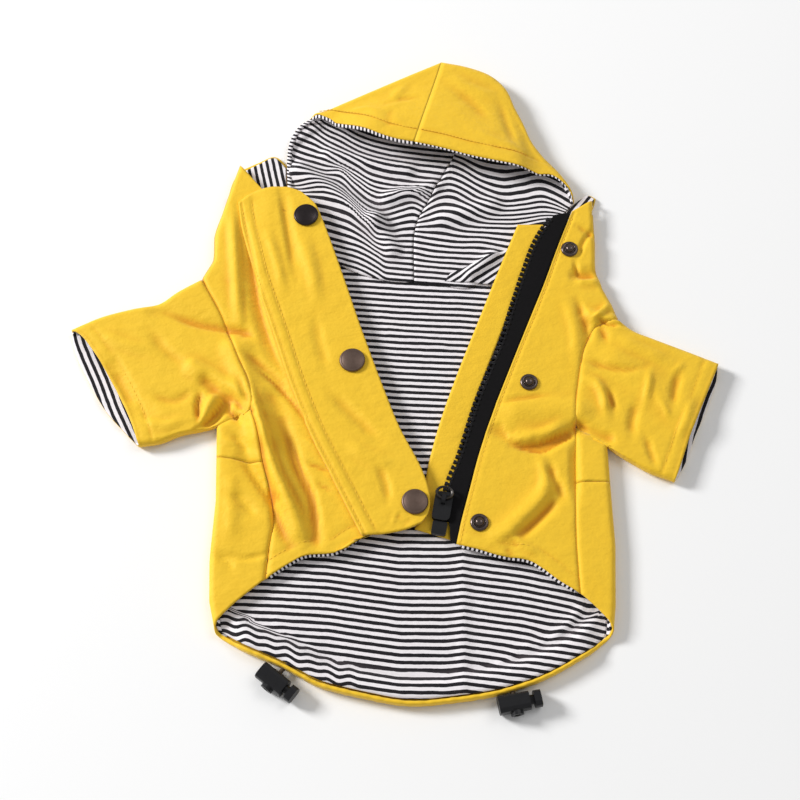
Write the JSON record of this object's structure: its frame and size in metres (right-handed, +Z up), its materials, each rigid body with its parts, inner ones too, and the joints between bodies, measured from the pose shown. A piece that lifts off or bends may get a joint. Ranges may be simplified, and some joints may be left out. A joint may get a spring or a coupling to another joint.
{
  "type": "dog raincoat",
  "caption": "Small dog's hooded raincoat with a striped lining, lying open on its back: full-length zip under a snap flap, short sleeves, drawcord hem with cord locks.",
  "frame": {"origin": "on the surface it lies on, under the middle of the coat's outline without the draw cords", "axes": "+Z up off the surface, +Y from the hem to the hood, +X to the side of the right-hand sleeve in the picture"},
  "size_m": [0.34, 0.3748, 0.015],
  "materials": {
    "shell": "matt coated yellow rainwear cloth",
    "lining": "white jersey with narrow black stripes",
    "zip_tape": "black woven tape",
    "black_plastic": "satin black moulding",
    "gunmetal": "gunmetal plating",
    "cord": "black braided cord"
  },
  "bodies": {
    "coat": {"back_upper": "shell", "back_lower": "shell", "back_lining": "lining", "front_left": "shell", "front_right": "shell", "snap_flap": "shell", "zip_guard": "shell", "zip_tape_right": "zip_tape", "zip_tape_left": "zip_tape", "zip_slider": "black_plastic", "zip_box": "black_plastic", "snap_cap_1": "gunmetal", "snap_cap_2": "gunmetal", "snap_cap_3": "gunmetal", "snap_stud_1": "gunmetal", "snap_stud_2": "gunmetal", "snap_stud_3": "gunmetal", "sleeve_left": "shell", "sleeve_right": "shell", "sleeve_lining_left": "lining", "sleeve_lining_right": "lining", "hood_left": "shell", "hood_right": "shell", "hood_lining_left": "lining", "hood_lining_right": "lining", "collar_left": "shell", "collar_right": "shell", "collar_lining_left": "lining", "collar_lining_right": "lining", "hem_casing": "shell", "cord_lock_left": "black_plastic", "cord_lock_right": "black_plastic", "draw_cord_left": "cord", "draw_cord_right": "cord"},
    "pull_ring": {"zip_pull": "gunmetal"},
    "button_left": {"cord_lock_button_left": "black_plastic"},
    "button_right": {"cord_lock_button_right": "black_plastic"}
  },
  "joints": [
    {"name": "pull_ring_swing", "type": "hinge", "parent": "coat", "child": "pull_ring", "pos_m": [0.02536, -0.08035, 0.00895], "axis": [0.9848, -0.1736, 0], "range_deg": [0, 175]},
    {"name": "button_left_press", "type": "slide", "parent": "coat", "child": "button_left", "axis": [-0.788, 0.6157, 0], "range_m": [0, 0.0019], "stiffness_N_per_m": 400},
    {"name": "button_right_press", "type": "slide", "parent": "coat", "child": "button_right", "axis": [-0.9816, -0.1908, 0], "range_m": [0, 0.0019], "stiffness_N_per_m": 400}
  ]
}
